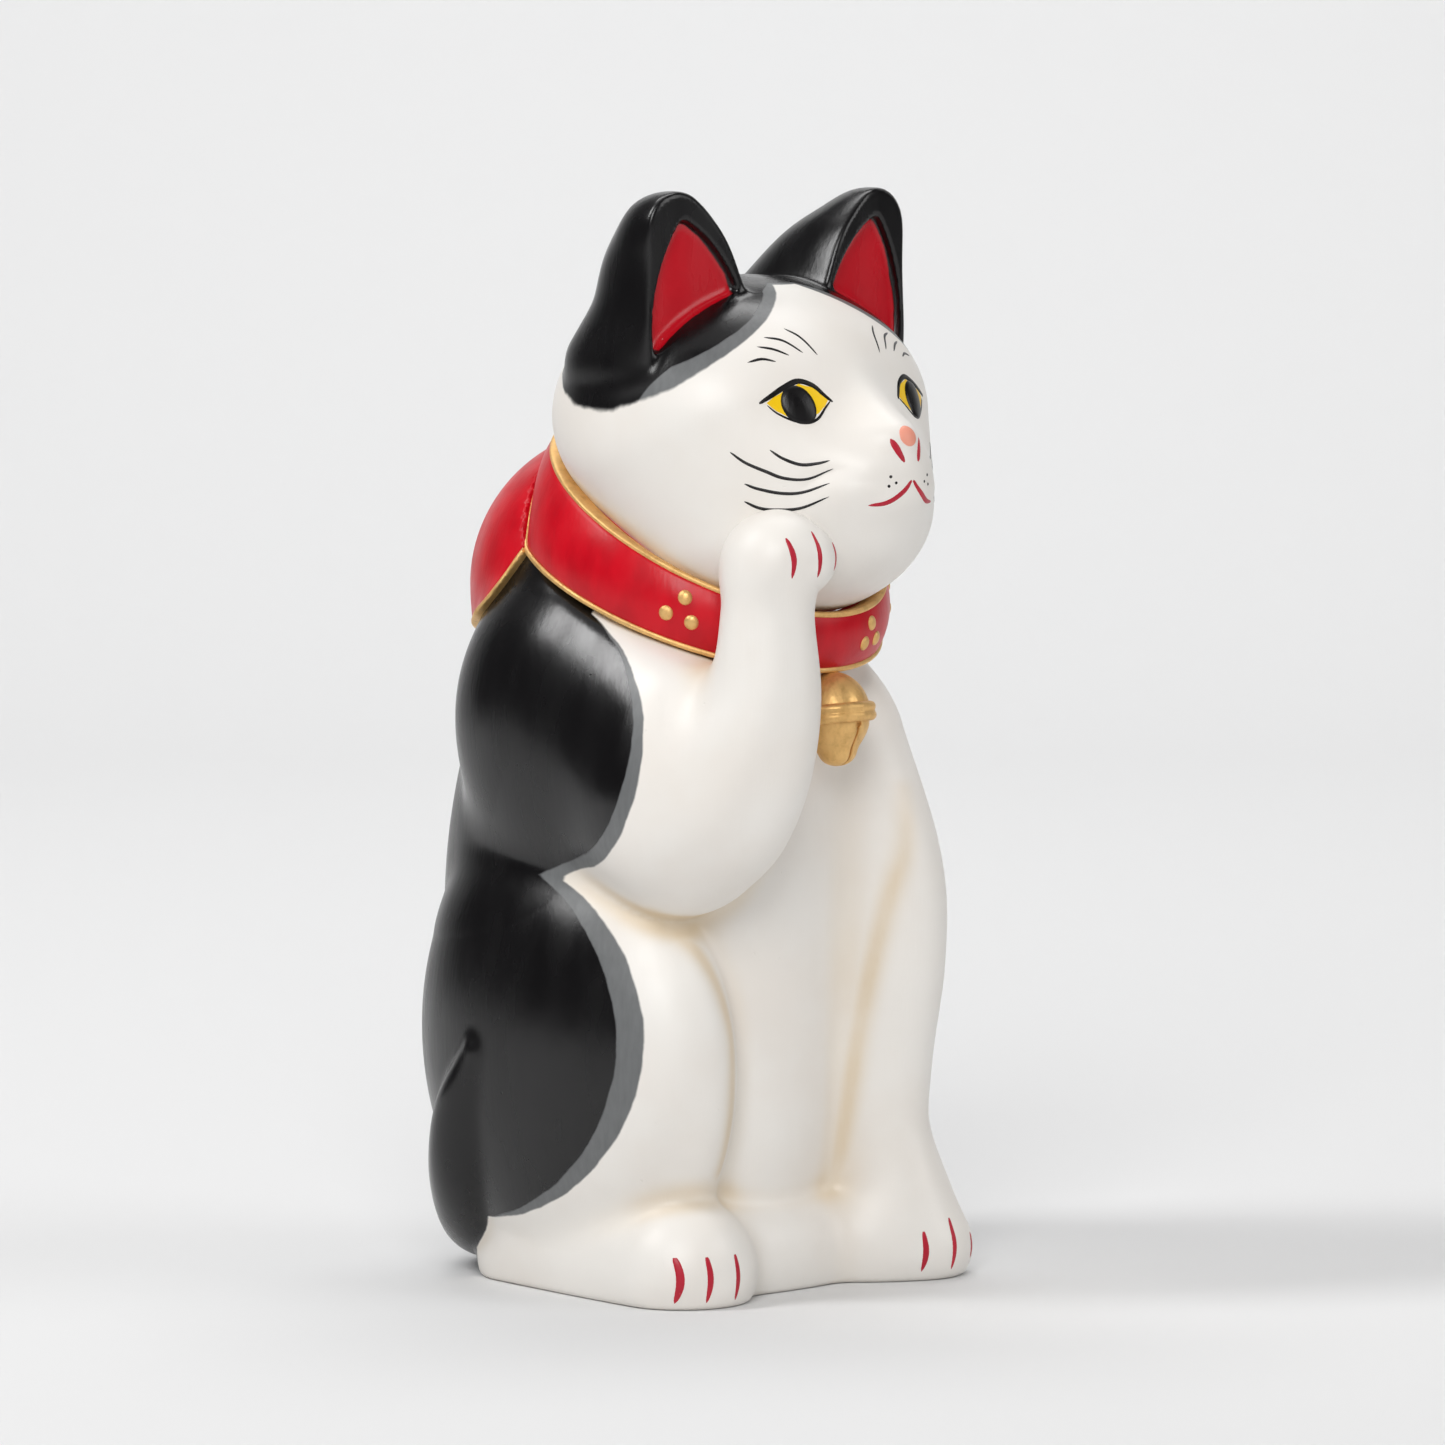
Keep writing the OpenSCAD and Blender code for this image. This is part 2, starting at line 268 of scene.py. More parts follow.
def skin(field, low, high, pitch):
    """Points, normals and quads of a field's surface inside a box."""
    low = np.array(low, float)
    coarse = COARSE_FOLD * pitch
    count = np.ceil((high - low) / coarse).astype(int)
    cells = np.stack(np.meshgrid(*map(np.arange, count), indexing="ij"), -1).reshape(-1, 3)
    reach = field(low + (cells + 0.5) * coarse)
    dense = reach.reshape(count)
    for axis in range(3):
        dense = np.repeat(dense, COARSE_FOLD, axis)
    inner = np.stack(np.meshgrid(*[np.arange(COARSE_FOLD)] * 3, indexing="ij"), -1).reshape(-1, 3)
    refined = cells[np.abs(reach) < COARSE_REACH * coarse]
    fine = (refined[:, None] * COARSE_FOLD + inner).reshape(-1, 3)
    dense[tuple(fine.T)] = field(low + (fine + 0.5) * pitch)
    grid = openvdb.FloatGrid(background=FAR)
    grid.copyFromArray(dense.astype(np.float32))
    points, quads = grid.convertToQuads(isovalue=0.0)
    points, normals = settle(field, low + (points + 0.5) * pitch)
    corners = points[quads]
    turned = np.cross(corners[:, 1] - corners[:, 0], corners[:, 3] - corners[:, 0])
    if (turned * normals[quads[:, 0]]).sum() < 0:
        quads = quads[:, ::-1]
    return points, normals, quads.astype(int)


def add_piece(name, points, faces, material, replaces=(), normals=None, layers=None):
    """A mesh in the row frame that rides the figure. layers are per-point paint distances."""
    mesh = bpy.data.meshes.new(name)
    mesh.from_pydata((np.asarray(points) * MM).tolist(), [], [list(map(int, f)) for f in faces])
    mesh.polygons.foreach_set("use_smooth", [True] * len(mesh.polygons))
    mesh.materials.append(material)
    for layer, values in (layers or {}).items():
        attribute = mesh.attributes.new(layer, "FLOAT", "POINT")
        attribute.data.foreach_set("value", np.asarray(values, np.float32))
    mesh.update()
    if normals is not None:
        mesh.normals_split_custom_set_from_vertices(normals.tolist())
    piece = bpy.data.objects.new(name, mesh)
    bpy.context.scene.collection.objects.link(piece)
    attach(piece, "root")
    if replaces:
        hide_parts(*replaces)
    return piece


def cast(field, flat):
    """Where lines drawn from the front straight at the cat meet a field, with the normals there.
    flat holds (across, height)."""
    flat = np.asarray(flat, float)
    points = np.stack([flat[:, 0], np.full(len(flat), -CAST_FROM), flat[:, 1]], 1)
    for _ in range(CAST_STEPS):
        points[:, 1] += CAST_SHARE * field(points)
    return points, unit(slope(field, points))


def grid_faces(rows, columns, closed=False):
    """Quads of a rows x columns sheet of points, or of a tube when the columns close."""
    wrap = columns if closed else columns - 1
    return [(r * columns + c, r * columns + (c + 1) % columns,
             (r + 1) * columns + (c + 1) % columns, (r + 1) * columns + c)
            for r in range(rows - 1) for c in range(wrap)]


def fan(start, count, tip):
    """Triangles between a ring of points, the first of them at start, and the point at tip."""
    return [(start + i, tip, start + (i + 1) % count) for i in range(count)]


class Sheet:
    """Points and faces of many small marks gathered into one mesh."""

    def __init__(self):
        self.points, self.faces, self.count = [], [], 0

    def add(self, points, faces):
        self.points.append(points)
        self.faces += [tuple(v + self.count for v in face) for face in faces]
        self.count += len(points)

    def mirrored(self, points, faces):
        """Adds a mark and its twin on the cat's other side."""
        self.add(points, faces)
        self.add(other_side(points), [face[::-1] for face in faces])

    def piece(self, name, material, slot, replaces=()):
        return add_piece(name, np.vstack(self.points), self.faces, material, replaces)


def stroke(field, knots, width, thick=0.12, tips=(0.25, 0.1)):
    """A brush stroke through knots given as (across, height), raised by its own thickness. tips
    are the shares of its width at its two ends."""
    knots = np.array(knots, float)
    length = np.linalg.norm(np.diff(knots, axis=0), axis=1).sum()
    rows = max(int(length / STROKE_STEP), 5)
    share = np.linspace(0, 1, rows)
    path = spline(knots, share * (len(knots) - 1))
    along = unit(np.gradient(path, axis=0))
    beside = np.stack([-along[:, 1], along[:, 0]], 1)
    swell = np.sin(math.pi * np.clip(share, 0, 1)) ** STROKE_FULLNESS
    swell = swell + (1 - swell) * np.where(share < 0.5, *tips)
    lanes = np.linspace(-1, 1, STROKE_LANES)
    flat = path[:, None] + beside[:, None] * (swell[:, None] * lanes * width / 2)[..., None]
    points, normals = cast(field, flat.reshape(-1, 2))
    crown = np.tile(thick * np.sqrt(1.0 - STROKE_ROUND * lanes ** 2), (rows, 1))
    crown[[0, -1]] = TIP_THICK
    crown[:, [0, -1]] -= STROKE_SUNK
    faces = [face[::-1] for face in grid_faces(rows, STROKE_LANES)]
    return points + normals * crown.reshape(-1, 1), faces


def patch(field, outline, thick, dome=0.0, rings=8):
    """A filled shape inside a closed outline of (across, height), domed toward its middle."""
    outline = np.array(outline, float)
    middle = outline.mean(0)
    count = len(outline)
    shares = np.linspace(1, 0, rings + 1)[:-1]
    flat = np.vstack([middle + (outline - middle) * share for share in shares] + [middle[None]])
    points, normals = cast(field, flat)
    lift = np.append(np.repeat(thick + dome * (1 - shares ** 2), count), thick + dome)
    lift[:count] = -PATCH_SUNK
    faces = [face[::-1] for face in grid_faces(rings, count, closed=True)]
    return points + normals * lift[:, None], faces + fan((rings - 1) * count, count, len(flat) - 1)


def oval(middle, half, count=32):
    turn = np.linspace(0, 2 * math.pi, count, endpoint=False)
    return np.stack([middle[0] + np.cos(turn) * half[0], middle[1] + np.sin(turn) * half[1]], 1)


# ---- Materials ------------------------------------------------------------------------

MIX_SHARE, MIX_FIRST, MIX_SECOND, MIX_COLOUR = 0, 6, 7, 2   # sockets of a Mix node for colours


def node(tree, kind, inputs=None, **settings):
    """A shader node with its settings and inputs; an input is a value or another's socket."""
    made = tree.nodes.new("ShaderNode" + kind)
    for setting, value in settings.items():
        setattr(made, setting, value)
    for name, value in (inputs or {}).items():
        if isinstance(value, bpy.types.NodeSocket):
            tree.links.new(value, made.inputs[name])
        else:
            made.inputs[name].default_value = value
    return made


def new_material(name, **sockets):
    """A material and the input sockets of its Principled shader, which sockets set."""
    material = bpy.data.materials.new(name)
    material.use_nodes = True
    shader = material.node_tree.nodes["Principled BSDF"]
    for socket, value in sockets.items():
        shader.inputs[socket.replace("_", " ")].default_value = value
    return material, material.node_tree, shader.inputs


def coordinates(tree, stretch=(1, 1, 1)):
    place = node(tree, "TexCoord").outputs["Object"]
    return node(tree, "Mapping", {"Vector": place, "Scale": stretch}).outputs["Vector"]


def noise(tree, size, stretch=(1, 1, 1), detail=3.0):
    """Cloudy values from 0 to 1 whose blotches are about size millimetres across."""
    return node(tree, "TexNoise", {"Vector": coordinates(tree, stretch), "Scale": 1.0 / (size * MM),
                                   "Detail": detail, "Roughness": 0.55}).outputs["Fac"]


def ramp(tree, value, start, end, low=0.0, high=1.0):
    """value mapped softly from start-end to low-high and held at both ends."""
    limits = {"Value": value, "From Min": start, "From Max": end, "To Min": low, "To Max": high}
    return node(tree, "MapRange", limits, interpolation_type="SMOOTHSTEP").outputs["Result"]


def calc(tree, operation, a, b):
    return node(tree, "Math", {0: a, 1: b}, operation=operation).outputs[0]


def blend(tree, share, first, second):
    """Colour that goes from first to second as share goes from 0 to 1."""
    ends = [end if isinstance(end, bpy.types.NodeSocket) else (*end, 1.0) for end in (first, second)]
    mixer = node(tree, "Mix", {MIX_SHARE: share, MIX_FIRST: ends[0], MIX_SECOND: ends[1]}, data_type="RGBA")
    return mixer.outputs[MIX_COLOUR]


def darker(colour, share):
    return tuple(share * channel for channel in colour)


def relief(tree, inputs, height, depth):
    """Bumps of height 0 to 1 that stand depth millimetres out of the paint."""
    bump = node(tree, "Bump", {"Height": height, "Distance": depth * MM, "Strength": 1.0})
    tree.links.new(bump.outputs["Normal"], inputs["Normal"])


STREAK_SIZE, STREAK_SHARE = 1.12, 0.35      # width of a brush streak and its share of the relief
SWELL_SIZE = 14.0                           # broad unevenness under the paint
PINHOLE_PITCH = 7.0


def brushed(tree):
    """Streaks of a soft brush with tiny pinholes in the paint, as a height from 0 to 1."""
    streaks = noise(tree, STREAK_SIZE, (1, 1, 0.12), 2.0)
    broad = noise(tree, SWELL_SIZE, (1, 1, 0.6), 2.0)
    height = calc(tree, "ADD", calc(tree, "MULTIPLY", streaks, STREAK_SHARE), broad)
    cells = node(tree, "TexVoronoi", {"Vector": coordinates(tree), "Scale": 1.0 / (PINHOLE_PITCH * MM)})
    hole = ramp(tree, cells.outputs["Distance"], 0.02, 0.07, 1.0, 0.0)
    chance = node(tree, "SeparateColor", {"Color": cells.outputs["Color"]}).outputs[0]
    return calc(tree, "SUBTRACT", height, calc(tree, "MULTIPLY", hole, ramp(tree, chance, 0.80, 0.84)))


WHITE = (0.83, 0.80, 0.755)
WARM_WHITE = (0.80, 0.755, 0.70)
TAN = (0.66, 0.50, 0.29)
GREY = (0.135, 0.14, 0.142)
BLACK = (0.003, 0.0026, 0.003)
RED = (0.58, 0.002, 0.012)
DEEP_RED = (0.46, 0.001, 0.009)
CRIMSON = (0.42, 0.012, 0.03)
YELLOW = (0.88, 0.57, 0.006)
SALMON = (0.86, 0.36, 0.26)
GOLD = (0.80, 0.50, 0.19)
DARK_GOLD = (0.56, 0.32, 0.10)
BARE_CLAY = (0.62, 0.50, 0.40)
WORN_BLACK, DEEP_YELLOW = (0.02, 0.018, 0.018), (0.82, 0.48, 0.005)
DEEP_CRIMSON, DEEP_SALMON = (0.50, 0.02, 0.04), (0.80, 0.30, 0.21)

WOBBLE_SIZE, WOBBLE = 9.0, 1.2      # length over which a painted edge strays, and how far
SPECULAR = 0.5                      # of the clay's satin paint
MARK_SPECULAR = 0.3                 # of the red cloth and the drawn marks
CLAY_RELIEF, MARK_RELIEF, GILT_RELIEF, BARE_RELIEF = 0.09, 0.12, 0.16, 0.15


def painted(name):
    """Slip-cast clay under satin paint. The mesh says how far each point is inside a patch."""
    material, tree, inputs = new_material(name, Specular_IOR_Level=SPECULAR)
    wobble = calc(tree, "MULTIPLY", calc(tree, "SUBTRACT", noise(tree, WOBBLE_SIZE), 0.5), WOBBLE)

    def inside(layer, soft):
        depth = node(tree, "Attribute", attribute_name=layer).outputs["Fac"]
        return ramp(tree, calc(tree, "ADD", depth, wobble), soft, -soft)

    crease_depth = node(tree, "Attribute", attribute_name="crease").outputs["Fac"]
    patchy = ramp(tree, noise(tree, 22.0), 0.2, 0.7, 0.7, 1.0)
    shade = calc(tree, "MULTIPLY", ramp(tree, crease_depth, 0.04, 0.7), patchy)
    colour = blend(tree, ramp(tree, noise(tree, 40.0), 0.35, 0.7), WHITE, WARM_WHITE)
    colour = blend(tree, calc(tree, "MULTIPLY", shade, 0.8), colour, TAN)
    streaked = blend(tree, noise(tree, 1.5, (1, 1, 0.2)), darker(GREY, 0.8), darker(GREY, 1.25))
    colour = blend(tree, inside("grey", 0.3), colour, streaked)
    black = inside("black", 0.3)
    colour = blend(tree, black, colour, BLACK)
    reds = blend(tree, noise(tree, 10.0), RED, DEEP_RED)
    colour = blend(tree, inside("red", 0.25), colour, reds)
    tree.links.new(colour, inputs["Base Color"])
    dull = ramp(tree, noise(tree, 16.0), 0.3, 0.7, 0.36, 0.46)
    sheen = ramp(tree, noise(tree, 12.0, (1, 1, 0.3)), 0.3, 0.7, 0.2, 0.3)
    rough = node(tree, "Mix", {0: black, 2: dull, 3: sheen}, data_type="FLOAT").outputs[0]
    tree.links.new(rough, inputs["Roughness"])
    relief(tree, inputs, brushed(tree), CLAY_RELIEF)
    return material


def plain_paint(name, colour, other, roughness):
    """One colour of satin paint with faint brush marks."""
    material, tree, inputs = new_material(name, Specular_IOR_Level=MARK_SPECULAR)
    mixed = blend(tree, ramp(tree, noise(tree, 9.0, (1, 1, 0.5)), 0.3, 0.75), colour, other)
    tree.links.new(mixed, inputs["Base Color"])
    rough = ramp(tree, noise(tree, 11.0), 0.3, 0.7, roughness - 0.05, roughness + 0.07)
    tree.links.new(rough, inputs["Roughness"])
    relief(tree, inputs, brushed(tree), MARK_RELIEF)
    return material


def gilded(name, roughness):
    """Gold paint laid on with a brush, thin and brown in places."""
    material, tree, inputs = new_material(name, Metallic=0.65)
    grain = calc(tree, "MULTIPLY", noise(tree, 0.8), 0.4)
    patchy = ramp(tree, calc(tree, "ADD", noise(tree, 3.0, (1, 1, 0.4)), grain), 0.55, 1.15)
    tree.links.new(blend(tree, patchy, GOLD, DARK_GOLD), inputs["Base Color"])
    rough = ramp(tree, noise(tree, 5.0), 0.3, 0.7, roughness - 0.08, roughness + 0.1)
    tree.links.new(rough, inputs["Roughness"])
    height = calc(tree, "ADD", noise(tree, 1.4, (1, 1, 0.4)), noise(tree, 4.0))
    relief(tree, inputs, height, GILT_RELIEF)
    return material


def bisque(name):
    """Bare fired clay, faintly speckled."""
    material, tree, inputs = new_material(name, Roughness=0.85)
    speckle = ramp(tree, noise(tree, 1.2), 0.55, 0.75)
    speckled = blend(tree, speckle, BARE_CLAY, darker(BARE_CLAY, 0.75))
    tree.links.new(speckled, inputs["Base Color"])
    relief(tree, inputs, noise(tree, 1.0), BARE_RELIEF)
    return material


# ---- Paint on the clay ----------------------------------------------------------------
# Patches of black and the wider grey laid under them, as masses on the cat's right side.

SHOULDER_BLACK = ((-92, 7, 157), (58, 68, 59))
SHOULDER_GREY = ((-91, 4, 155), (55, 70.3, 62))
HAUNCH_BLACK = ((0, 28, 70), (300, 69.5, 53))
HAUNCH_GREY = ((0, 18.5, 70), (300, 66.5, 52))
BACK_BLACK = ((0, 62, 90), (70, 66, 150))
NAPE_BLACK = ((-50, 8, 192), (15, 33, 15))
EAR_BLACK = ((-30, -31, 333), (33, 36, 136.5))
CROWN_BLACK = ((0, -22, 300), (20, 29, 60))
LEG_SPRAY = [(34, -57, 134), (32.5, -61, 120), (27, -60.5, 104), (23.5, -56, 80), (21.5, -51.5, 52),
             (20, -47, 24)]
THIGH_SPRAY = [(-46, -44, 106), (-34.5, -50, 94), (-28.5, -55, 75), (-28.5, -56, 56), (-28, -51, 36)]
SPRAY_R, SPRAY_FADE = 1.0, 9.0      # core and soft edge of the sprayed tan lines
SPRAY_SHARE = 0.5                   # how strong they are
CREASE_REACH, CREASE_GAIN = 6.0, 1.15   # how far out a crease is felt, and how strongly it stains
HEAD_CREASE = 0.5                   # share of that stain on the head
LEFT_MERGE = 40.0                   # how far the two patches on the left side run together
LEG_CLEAR, LEG_SOFT = 4.0, 12.0     # white kept round the left foreleg and the round of its corner
GREY_RIM = 3.0
TAIL_SPREAD = 1.6                   # black paint that runs off the tail onto the body
EAR_BAND = 3.6                      # width of the grey round the black on the head
BAND_START, BAND_FADE = -44.0, 6.0  # y where that grey begins, and the length it widens over
CHEEK_LINE, CHEEK_STEEP = 236.0, 2.0    # height below which the head stays white
RED_INSET, RED_UNDER = 0.7, 0.8     # black rim left inside the ear's hollow, at its side and lip


def smallest(*distances):
    return np.minimum.reduce(distances)


def body_paint(points, normals):
    """Millimetres from each point to the black, grey and red, and how deep it lies in a crease."""
    right, left = points, other_side(points)
    off_leg = LEG_CLEAR - limb(points, FORELEG)
    black = smallest(lump(right, SHOULDER_BLACK), lump(points, BACK_BLACK),
                     lump(right, NAPE_BLACK), lump(left, NAPE_BLACK), limb(points, TAIL) - TAIL_SPREAD,
                     join(lump(left, SHOULDER_BLACK), lump(points, HAUNCH_BLACK), LEFT_MERGE))
    grey = smallest(lump(right, SHOULDER_GREY), black,
                    join(lump(left, SHOULDER_GREY), lump(points, HAUNCH_GREY), LEFT_MERGE))
    lines = [limb(points, [(at, (SPRAY_R,) * 3) for at in line]) for line in (LEG_SPRAY, THIGH_SPRAY)]
    spray = SPRAY_SHARE * np.clip(1.0 - smallest(*lines) / SPRAY_FADE, 0, 1) ** 2
    return {"black": keep(black, off_leg, LEG_SOFT),
            "grey": keep(grey, off_leg - GREY_RIM, LEG_SOFT),
            "red": np.full(len(points), FAR),
            "crease": np.maximum(crease(body, points, normals), spray)}


def ear_red(points):
    """Distance to the floor of the right ear's hollow."""
    front = facing(points, *EAR_FACE)
    return np.maximum(ear_window(points) + RED_INSET, np.abs(front + EAR_DEPTH) - EAR_DEPTH + RED_UNDER)


def head_paint(points, normals):
    """The same for the head, with the millimetres to the red of the ears."""
    right, left = points, other_side(points)
    grey = smallest(lump(right, EAR_BLACK), lump(left, EAR_BLACK), lump(points, CROWN_BLACK))
    grey = np.maximum(grey, CHEEK_STEEP * (CHEEK_LINE - points[:, 2]))
    band = EAR_BAND * np.clip((BAND_START - points[:, 1]) / BAND_FADE, 0, 1)
    return {"black": grey + band, "grey": grey, "red": smallest(ear_red(right), ear_red(left)),
            "crease": HEAD_CREASE * crease(head, points, normals)}


def crease(field, points, normals):
    """0 on open clay and up to 1 where the surface closes in on itself."""
    open_share = field(points + CREASE_REACH * normals) / CREASE_REACH
    return np.clip(CREASE_GAIN * (1.0 - open_share), 0, 1)


def add_parts(skinned, paint, nearest, white, black):
    """One piece for each CAD node, of the faces of a skin that are nearest to that node. nearest
    maps a node to its distance at each point and to whether it is a black one."""
    points, normals, quads = skinned
    distances = np.stack([distance for distance, _ in nearest.values()])
    owner = distances.argmin(0)[quads[:, 0]]
    for number, (node_name, (_, is_black)) in enumerate(nearest.items()):
        faces = quads[owner == number]
        used, flat = np.unique(faces, return_inverse=True)
        add_piece("clay_" + node_name, points[used], flat.reshape(faces.shape),
                  black if is_black else white,
                  [node_name], normals[used], {layer: values[used] for layer, values in paint.items()})


def build_body(white, black):
    """Body, raised forelimb and tail, cut from one skin."""
    skinned = skin(body, *BODY_BOX, BODY_PITCH)
    points, normals, _ = skinned
    trunk = smallest(limb(points, TRUNK), limb(points, FORELEG), limb(points, HAUNCH),
                     limb(other_side(points), HAUNCH), limb(points, HIND_FOOT))
    nearest = {"body_shell": (trunk, False), "right_forelimb": (forelimb(points), False),
               "tail": (limb(points, TAIL), True)}
    add_parts(skinned, body_paint(points, normals), nearest, white, black)


def build_head(white, black):
    """Head and ears, cut from one skin."""
    skinned = skin(head, *HEAD_BOX, HEAD_PITCH)
    points, normals, _ = skinned
    nearest = {"head_shell": (muzzled_skull(points), False), "right_ear": (ear(points), True),
               "left_ear": (ear(other_side(points)), True)}
    add_parts(skinned, head_paint(points, normals), nearest, white, black)


# ---- Brush strokes --------------------------------------------------------------------
# Knots are (across, height) seen from the front. Those of the face are on the cat's right and the left is
# mirrored; the claws are given where they lie.

EYE = [(-30.3, 243.2), (-28.3, 244.8), (-24.7, 247), (-20.5, 248.5), (-16.6, 247.4), (-14.6, 245.4),
       (-13.3, 243.7), (-14.8, 242), (-17.1, 240.2), (-19.8, 238.7), (-22.5, 238.3), (-25.6, 239.2),
       (-28.3, 240.9)]
LID_TOP = [(-31.5, 243), (-28.7, 244.8), (-24.7, 247.2), (-20.5, 248.8), (-16.6, 247.5), (-14.3, 245),
           (-12.6, 243.2)]
LID_LOW = [(-29.7, 242.5), (-27.6, 240.3), (-24.2, 238.4), (-21.1, 237.8), (-18.2, 238.9),
           (-15.3, 241.6), (-13.2, 243.4)]
PUPIL = (-22, 242.6)
WHISKERS = [((-30.8, 230.8), (-28.5, 228.6), (-25, 226.9), (-21.5, 227.2), (-19, 228)),
            ((-38.4, 230.2), (-35.7, 227.4), (-32, 225.1), (-28.5, 223.3), (-23.8, 223.1), (-18.6, 225.8)),
            ((-35.8, 221.8), (-33.5, 220.5), (-29.2, 219.3), (-24.9, 219.6), (-19.8, 222)),
            ((-35.6, 217.1), (-33.2, 215.4), (-30.4, 214.9), (-25.6, 215.4), (-20.2, 218.4))]
BROWS = [((-17, 262.5), (-14.2, 260.2), (-12, 255.5)), ((-23.8, 260.3), (-19.6, 259.4), (-16, 256.2)),
         ((-27, 257.9), (-23.4, 257.2), (-20.2, 255.6)), ((-31.2, 253.8), (-27.5, 254.7), (-24.4, 254))]
NOSTRIL = [(-5.4, 233.6), (-4.2, 230.8), (-2.6, 227.4)]
MOUTH = [(-0.3, 222.4), (-3, 219.6), (-7.4, 216.7), (-12, 216)]
WHISKER_DOTS = [(-7, 223.6), (-5.4, 221.9), (-7.5, 221.1)]
EYE_THICK = 0.06
LID_TOP_W, LID_TOP_THICK = 1.5, 0.2
LID_LOW_W, LID_LOW_THICK = 0.7, 0.15
LID_TIPS, BROW_TIPS = (0.3, 0.3), (0.1, 0.3)
PUPIL_HALF, PUPIL_THICK, PUPIL_DOME = (4.5, 5.2), 0.25, 0.75
WHISKER_W, BROW_W = 0.95, 0.75
SPECK_HALF, SPECK_THICK, SPECK_DOME = (0.5, 0.5), 0.05, 0.1
NOSTRIL_W, NOSTRIL_TIPS = 2.0, (0.15, 0.35)
MOUTH_W, MOUTH_TIPS = 1.5, (0.45, 0.15)
RED_THICK = 0.15
NOSE_AT, NOSE_HALF, NOSE_THICK, NOSE_DOME = (0, 234.2), (3.1, 2.8), 0.1, 0.25

RAISED_CLAWS = [[(-38, 208.2), (-37.5, 204.8), (-37.2, 201.9), (-37.5, 197.6)],
                [(-29.7, 209.7), (-29.3, 205.5), (-29.3, 202), (-29.3, 197.6)],
                [(-21.9, 206.5), (-21.3, 203), (-22, 199)]]
HIND_CLAWS = [[(x, 14.5), (x + 0.3, 8.5), (x - 0.2, 2.2)] for x in (-50.2, -43.3, -34.2)]
LEG_CLAWS = [[(x, top), (x, (top + foot) / 2), (x - 0.6, foot)]
             for x, top, foot in ((34.8, 14, 3), (43.8, 17, 3), (53.3, 12, 5))]
PAWS = [(RAISED_CLAWS, 1.6, (0.3, 0.15)), (HIND_CLAWS, 1.8, (0.5, 0.1)),
        (LEG_CLAWS, 1.7, (0.4, 0.1))]       # with the width and the tips of their strokes


def build_face():
    """Eyes, nose, mouth, whiskers and brows, laid on the head in raised paint."""
    black = plain_paint("liner_black", BLACK, WORN_BLACK, 0.3)
    yellow = plain_paint("eye_yellow", YELLOW, DEEP_YELLOW, 0.33)
    salmon = plain_paint("nose_salmon", SALMON, DEEP_SALMON, 0.4)
    crimson = plain_paint("crimson", CRIMSON, DEEP_CRIMSON, 0.36)
    lines, eyes, reds, nose = Sheet(), Sheet(), Sheet(), Sheet()
    eyes.mirrored(*patch(head, EYE, EYE_THICK))
    lines.mirrored(*stroke(head, LID_TOP, LID_TOP_W, LID_TOP_THICK, LID_TIPS))
    lines.mirrored(*stroke(head, LID_LOW, LID_LOW_W, LID_LOW_THICK, LID_TIPS))
    lines.mirrored(*patch(head, oval(PUPIL, PUPIL_HALF), PUPIL_THICK, PUPIL_DOME))
    for whisker in WHISKERS:
        lines.mirrored(*stroke(head, whisker, WHISKER_W))
    for brow in BROWS:
        lines.mirrored(*stroke(head, brow, BROW_W, tips=BROW_TIPS))
    for speck in WHISKER_DOTS:
        lines.mirrored(*patch(head, oval(speck, SPECK_HALF, 10), SPECK_THICK, SPECK_DOME, rings=2))
    reds.mirrored(*stroke(head, NOSTRIL, NOSTRIL_W, RED_THICK, NOSTRIL_TIPS))
    reds.mirrored(*stroke(head, MOUTH, MOUTH_W, RED_THICK, MOUTH_TIPS))
    nose.add(*patch(head, oval(NOSE_AT, NOSE_HALF), NOSE_THICK, NOSE_DOME))
    lines.piece("face_lines", black, "painted_clay_black")
    eyes.piece("eyes", yellow, "painted_clay_white")
    reds.piece("mouth_and_nostrils", crimson, "painted_clay_red")
    nose.piece("nose", salmon, "painted_clay_red")
    return crimson


def build_claws(crimson):
    """Claws painted on the raised paw, the right hind paw and the standing foreleg."""
    claws = Sheet()
    for paw, width, tips in PAWS:
        for claw in paw:
            claws.add(*stroke(body, claw, width, tips=tips))
    claws.piece("claws", crimson, "painted_clay_red")


# ---- Collar, kerchief and bell --------------------------------------------------------

LOW_RIM = (-15.6, 48.9, 190.6, 23.0)      # y of the middle, radius, height, tilt in degrees
TOP_RIM = (-22.5, 45.4, 210.6, 29.0)
NAPE = (-20.0, 122.0, 70.0)               # y, height and tilt of the plane that ends the band
NAPE_GAP = 0.6                            # what the band stays short of that plane
BAND_BULGE, BAND_FULLNESS = 2.1, 0.8      # how far its face bows out, and how evenly
BAND_STEPS, BAND_ROWS = 161, 15           # places round the neck and up the band
BAND_EDGE = 0.02                          # share of the band lost under each edging
LOW_TUCK, TOP_TUCK = 5, 7                 # how far its edges turn in toward the neck
LOW_TRIM = [(-3, 1.1), (0.3, 1.2), (0.8, 0.8), (0.95, 0.2), (0.8, -0.4), (0.2, -0.7), (-3, -0.7)]
TOP_TRIM = [(0.1, -1.2), (0.6, -0.9), (0.75, -0.3), (0.6, 0.3), (0.0, 0.6), (-1.2, 0.6), (-2.6, 0.35),
            (-4.5, 0.0), (-4.5, -1.2)]    # sections of the edgings, (out, up) from the band's edge
DOT_TURNS, DOT_SPOKES = (-54, -18, 18, 54), (90, 210, 330)     # degrees to each three and in it
DOT_SPREAD, DOT_CLIMB = 4.6, 0.21         # reach of a three: degrees round, and share of the band
DOT_R, DOT_RISE, DOT_SINK = 2.05, 0.95, 0.15
DOT_RINGS, DOT_SIDES = 5, 16
NUDGE = 0.01                              # a small step along the band, for its slopes


def rim(turn, y, radius, height, tilt):
    """Points of one rim, turn radians round from the front."""
    ahead = radius * np.cos(turn)
    return np.stack([radius * np.sin(turn), y - ahead, height - ahead * math.tan(math.radians(tilt))], -1)


